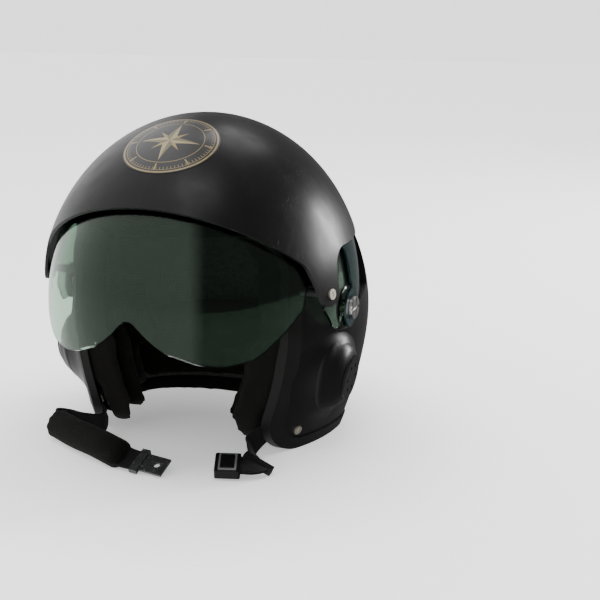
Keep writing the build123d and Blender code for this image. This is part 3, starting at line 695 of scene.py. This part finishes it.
# %% Sweeping a section
def swept(name, frames, section, finish, lift=0.0):
    """Mesh through a ring of section points (across, out) at each frame, closed at both ends."""
    mesh = bmesh.new()
    uv = mesh.loops.layers.uv.new("strap")
    rings, travelled, runs = [], 0.0, []
    for index, (place, wide, face, along) in enumerate(frames):
        ring = section(index / (len(frames) - 1))
        rings.append([mesh.verts.new(place + wide * a + face * (b + lift)) for a, b in ring])
        if index:
            travelled += (place - frames[index - 1][0]).length
        runs.append((travelled, [a for a, b in ring]))
    count = len(rings[0])
    for index in range(len(rings) - 1):
        for k in range(count):
            n = (k + 1) % count
            corners = ((index, k), (index, n), (index + 1, n), (index + 1, k))
            made = mesh.faces.new([rings[at][around] for at, around in corners])
            spots = [(runs[at][0], runs[at][1][around]) for at, around in corners]
            for loop, spot in zip(made.loops, spots):
                loop[uv].uv = spot
    mesh.faces.new(list(reversed(rings[0])))
    mesh.faces.new(rings[-1])
    piece = built_piece(name, mesh, finish)
    piece.data.set_sharp_from_angle(angle=math.radians(50))
    return piece


def band_section(wide, thick):
    """A flat section with rounded selvedges and a slightly thicker rim."""
    def ring(_share):
        half, deep = wide / 2, thick / 2
        places = []
        for sign in (1, -1):
            for turn in (-90, -45, 0, 45, 90):
                angle = math.radians(turn)
                out = half - deep + deep * math.cos(angle)
                places.append((sign * out, sign * deep * math.sin(angle)))
            for part in (0.8, 0.4, 0.0, -0.4, -0.8):
                places.append((sign * part * (half - deep), sign * deep * 0.9))
        return places
    return ring


# %% The two straps
WEB_WIDE, WEB_THICK = 0.020, 0.0015
LUG_HOLE, LUG_RADIUS, LUG_HALF, LUG_EDGE = 0.0019, 0.0093, 0.0008, 0.0004
LUG_TURNS = 40
SEAM_OUT, SEAM_STITCH = 0.0078, 0.0008
BAR_PITCH, BAR_STITCH = 0.00185, 0.0007
THREAD_WIDE, THREAD_HIGH, THREAD_LIFT = 0.00035, 0.0003, 0.00012
NO_FLIP, FLIP = Vector((1.0, 1.0, 1.0)), Vector((-1.0, 1.0, 1.0))


def lug(name, anchor, normal, finish):
    """Round reinforced end of a strap, with the hole that the anchor screw passes."""
    mesh = bmesh.new()
    along = Vector(normal).normalized()
    wide = along.cross(Vector((0, 0, 1))).normalized()
    up = along.cross(wide)
    half = [(LUG_RADIUS, LUG_EDGE), (LUG_RADIUS - LUG_EDGE, LUG_HALF), (LUG_HOLE, LUG_HALF)]
    profile = [(r, -h) for r, h in reversed(half)] + half
    rings = []
    for turn in range(LUG_TURNS):
        angle = 2 * math.pi * turn / LUG_TURNS
        out = wide * math.cos(angle) + up * math.sin(angle)
        rings.append([mesh.verts.new(Vector(anchor) + out * r + along * h) for r, h in profile])
    for turn in range(LUG_TURNS):
        after = rings[(turn + 1) % LUG_TURNS]
        for k in range(len(profile)):
            n = (k + 1) % len(profile)
            mesh.faces.new((rings[turn][k], rings[turn][n], after[n], after[k]))
    piece = built_piece(name, mesh, finish)
    piece.data.set_sharp_from_angle(angle=math.radians(40))
    return piece


def stitches(name, frames, rows, finish):
    """Thread stitches on a strap's face; rows are (frame, across, reach along) in strap terms."""
    mesh = bmesh.new()
    for index, across, reach, sideways in rows:
        place, wide, face, along = frames[index]
        run = wide if sideways else along
        other = along if sideways else wide
        middle = place + wide * across + face * (WEB_THICK / 2 + THREAD_LIFT)
        made = bmesh.ops.create_uvsphere(mesh, u_segments=6, v_segments=5, radius=1.0)
        shape = Matrix((run * reach, other * THREAD_WIDE, face * THREAD_HIGH)).transposed().to_4x4()
        shape.translation = middle
        bmesh.ops.transform(mesh, matrix=shape, verts=made["verts"])
    return built_piece(name, mesh, finish)


def dress_strap(side, frames, body, sew_from, sew_to):
    web = swept(side + "_strap_webbing", frames, band_section(WEB_WIDE, WEB_THICK), strap_weave)
    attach(web, body)
    anchor = ANCHOR * (NO_FLIP if side == "left" else FLIP)
    end = lug(side + "_strap_lug", anchor, frames[0][2], strap_weave)
    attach(end, body)
    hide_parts(side + "_webbing")
    rows = []
    for index in range(sew_from, sew_to):
        for across in (-SEAM_OUT, SEAM_OUT):
            rows.append((index, across, SEAM_STITCH, False))
    for index in (sew_from, sew_to):
        for step in range(-4, 5):
            rows.append((index, step * BAR_PITCH, BAR_STITCH, True))
    sewn = stitches(side + "_strap_stitches", frames, rows, thread_black)
    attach(sewn, body)


dress_strap("left", left_frames, "left_strap", 42, 52)
dress_strap("right", right_frames, "right_strap", 46, 58)

# %% The doubled end
double = swept("webbing_doubled_end", left_frames[58:88], band_section(WEB_WIDE, WEB_THICK), strap_weave,
               lift=0.0017)
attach(double, "left_strap")

# %% [markdown]
# ## The padded sleeve
# The sleeve that keeps the strap off the chin is a soft tube, gathered where its ends are sewn down.
# Its section is a rounded oval that narrows at both ends, with small folds that fade toward the middle.

# %% Sleeve
SLEEVE_FROM, SLEEVE_TO = 74, 111
SLEEVE_HALF_WIDE, SLEEVE_HALF_DEEP = 0.0119, 0.0100


def sleeve_section(share):
    ends = min(share, 1 - share)
    grow = 0.45 + 0.55 * math.sqrt(1 - (1 - min(1.0, ends / 0.13)) ** 2)
    gather = max(0.0, 1 - ends / 0.22)
    places = []
    for k in range(40):
        angle = 2 * math.pi * k / 40
        fold = 1 + gather * 0.06 * math.sin(9 * angle + 1.7) + 0.018 * math.sin(3 * angle + 14 * share)
        wide, deep = SLEEVE_HALF_WIDE * grow * fold, SLEEVE_HALF_DEEP * grow * fold
        squared = math.copysign(abs(math.sin(angle)) ** 0.9, math.sin(angle))
        places.append((wide * math.cos(angle), deep * squared))
    return places


sleeve = swept("chin_sleeve", right_frames[SLEEVE_FROM:SLEEVE_TO], sleeve_section, sleeve_cloth)
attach(sleeve, "right_strap")
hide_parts("chin_pad")

# %% [markdown]
# ## Piping on the lined edge
# A bead of piping runs round the lining where the bound edge meets the plush. Its line is found by
# looking outward from the middle of the helmet at the bound edge, a little inside its rim.

# %% Piping
edge_tree = BVHTree.FromPolygons([v.co for v in nodes["liner_edge"].data.vertices],
                                 [p.vertices for p in nodes["liner_edge"].data.polygons])


def outline_places(inset):
    """Side-view points along the front of the opening, from the rim up and round the brow."""
    front = -0.055 + inset
    brow = 0.186 + inset
    places = []
    foot, corner = 0.034 - inset, 0.034 + inset
    for turn in range(0, 91, 15):
        angle = math.radians(turn)
        places.append((front + foot - foot * math.sin(angle), inset + foot - foot * math.cos(angle)))
    for step in range(1, 12):
        places.append((front, inset + foot + (brow - corner - inset - foot) * step / 12))
    for turn in range(0, 91, 15):
        angle = math.radians(turn)
        places.append((front - corner + corner * math.cos(angle), brow - corner + corner * math.sin(angle)))
    return places


def piping_line(inset):
    line = []
    for back, high in outline_places(inset):
        hit = edge_tree.ray_cast(Vector((0.0, back, high)), Vector((1.0, 0.0, 0.0)))[0]
        if hit is not None:
            line.append(hit)
    last = line[-1]
    middle = []
    for step in range(1, 15):
        across = last.x * (1 - step / 15)
        hit = edge_tree.ray_cast(Vector((across, 0.0, last.z)), Vector((0.0, -1.0, 0.0)))[0]
        if hit is not None:
            middle.append(hit)
    half = line + middle
    return half + [Vector((-p.x, p.y, p.z)) for p in reversed(half)]


def piping(name, line, radius, finish):
    curve = bpy.data.curves.new(name, "CURVE")
    curve.dimensions, curve.bevel_depth, curve.bevel_resolution = "3D", radius, 3
    spline = curve.splines.new("NURBS")
    spline.points.add(len(line) - 1)
    for point, place in zip(spline.points, line):
        point.co = (*place, 1.0)
    spline.order_u = 4
    spline.use_endpoint_u = True
    curve.use_fill_caps = True
    rough = bpy.data.objects.new(name + "_line", curve)
    bpy.context.scene.collection.objects.link(rough)
    bpy.context.view_layer.update()
    data = bpy.data.meshes.new_from_object(rough.evaluated_get(bpy.context.evaluated_depsgraph_get()))
    bpy.data.objects.remove(rough)
    return new_piece(name, data, finish)


bead = piping("edge_piping", piping_line(0.0135), 0.0014, edge_cloth)
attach(bead, "helmet")

# %% [markdown]
# ## Studio
# The helmet stands on a plain pale floor that glows like a light table. Under the helmet its glow is
# set lower, a painted soft shadow. The room is pale on the left, which is what the lens mirrors, and dark
# on the right. Two soft lights above give the crown its broad glow, and two behind right draw the edge of
# the cover and the top of the ear bulge. The floor is left out of reflections, so the lens stays even.

# %% Floor, lights and world
def floor_sheet():
    data = bpy.data.meshes.new("floor")
    reach = 6.0
    data.from_pydata([(-reach, -reach, 0), (reach, -reach, 0), (reach, reach, 0), (-reach, reach, 0)], [],
                     [(0, 1, 2, 3)])
    pale = Finish("floor_pale", Roughness=0.9, Emission_Strength=1.25)
    mottle = pale.noise(3.0, 2.0)
    pale.feed("Base Color", pale.mix(mottle, (0.88, 0.88, 0.88), (0.9, 0.9, 0.9)))
    east, north, _ = pale.parts(pale.place)
    away = (east * east + (north + 0.03) * (north + 0.03)).calc("SQRT")
    # Painted shadow: the glow is dimmed toward the helmet's middle, from full at 0.26 m to 0.3 at 0.06 m.
    pale.feed("Emission Color", away.ramp((0.06, 0.30), (0.26, 1.0)))
    return new_piece("floor", data, pale.material)


floor = floor_sheet()
floor.visible_glossy = False


def softbox(name, place, aim, size, power, tall=None):
    light = bpy.data.lights.new(name, "AREA")
    light.shape, light.size, light.size_y = "RECTANGLE", size, tall or size
    light.energy = power
    lamp = bpy.data.objects.new(name, light)
    lamp.location = place
    lamp.rotation_euler = (Vector(aim) - Vector(place)).to_track_quat("-Z", "Y").to_euler()
    bpy.context.scene.collection.objects.link(lamp)
    return lamp


AIM = (0.0, 0.0, 0.12)
softbox("crown_box", (0.05, 1.25, 1.75), AIM, 0.8, 7)
softbox("back_right_box", (1.15, 1.42, 0.57), AIM, 0.2, 24, 0.5)
softbox("ear_box", (1.15, 0.85, 0.42), AIM, 0.22, 5)
softbox("high_front_box", (0.35, -0.5, 2.3), AIM, 0.9, 10)

CARD_END, CARD_SOFT = math.radians(30), 0.05
world = bpy.data.worlds.new("room")
bpy.context.scene.world = world
world.use_nodes = True
tree = world.node_tree
seen = tree.nodes["Background"]
seen.inputs[0].default_value = (1.0, 1.0, 1.0, 1.0)
seen.inputs[1].default_value = 1.95
around = tree.nodes.new("ShaderNodeBackground")
around.inputs[1].default_value = 1.0
compass = tree.nodes.new("ShaderNodeTexCoord")
toward_card = tree.nodes.new("ShaderNodeVectorMath")
toward_card.operation = "DOT_PRODUCT"
toward_card.inputs[1].default_value = (-math.cos(CARD_END), -math.sin(CARD_END), 0.0)
card = tree.nodes.new("ShaderNodeValToRGB")
card.color_ramp.elements[0].position, card.color_ramp.elements[0].color = 0.5 - CARD_SOFT, grey(0.22)
card.color_ramp.elements[1].position, card.color_ramp.elements[1].color = 0.5 + CARD_SOFT, grey(1.65)
halved = tree.nodes.new("ShaderNodeMath")
halved.operation = "MULTIPLY_ADD"
halved.inputs[1].default_value = halved.inputs[2].default_value = 0.5
tree.links.new(compass.outputs["Generated"], toward_card.inputs[0])
tree.links.new(toward_card.outputs["Value"], halved.inputs[0])
tree.links.new(halved.outputs[0], card.inputs[0])
tree.links.new(card.outputs[0], around.inputs[0])
rays = tree.nodes.new("ShaderNodeLightPath")
choice = tree.nodes.new("ShaderNodeMixShader")
tree.links.new(rays.outputs["Is Camera Ray"], choice.inputs[0])
tree.links.new(around.outputs[0], choice.inputs[1])
tree.links.new(seen.outputs[0], choice.inputs[2])
tree.links.new(choice.outputs[0], tree.nodes["World Output"].inputs[0])

# %% [markdown]
# ## Camera
# The picture was taken from the helmet's front left, a little above it, with a long lens. The helmet
# stands left of the middle, so the lens is shifted rather than turned, which keeps its lines true.

# %% Camera
AZIMUTH, ELEVATION, DISTANCE = math.radians(23.4), math.radians(12.9), 1.045
LOOK = Vector((0.0, 0.0, 0.130))
back = Vector((math.sin(AZIMUTH) * math.cos(ELEVATION), -math.cos(AZIMUTH) * math.cos(ELEVATION),
               math.sin(ELEVATION)))
view = bpy.data.cameras.new("camera")
view.lens, view.sensor_width = 74.4, 36.0
view.shift_x, view.shift_y = 0.159, -0.0363
camera = bpy.data.objects.new("camera", view)
camera.location = LOOK + back * DISTANCE
camera.rotation_euler = (-back).to_track_quat("-Z", "Y").to_euler()
bpy.context.scene.collection.objects.link(camera)
bpy.context.scene.camera = camera
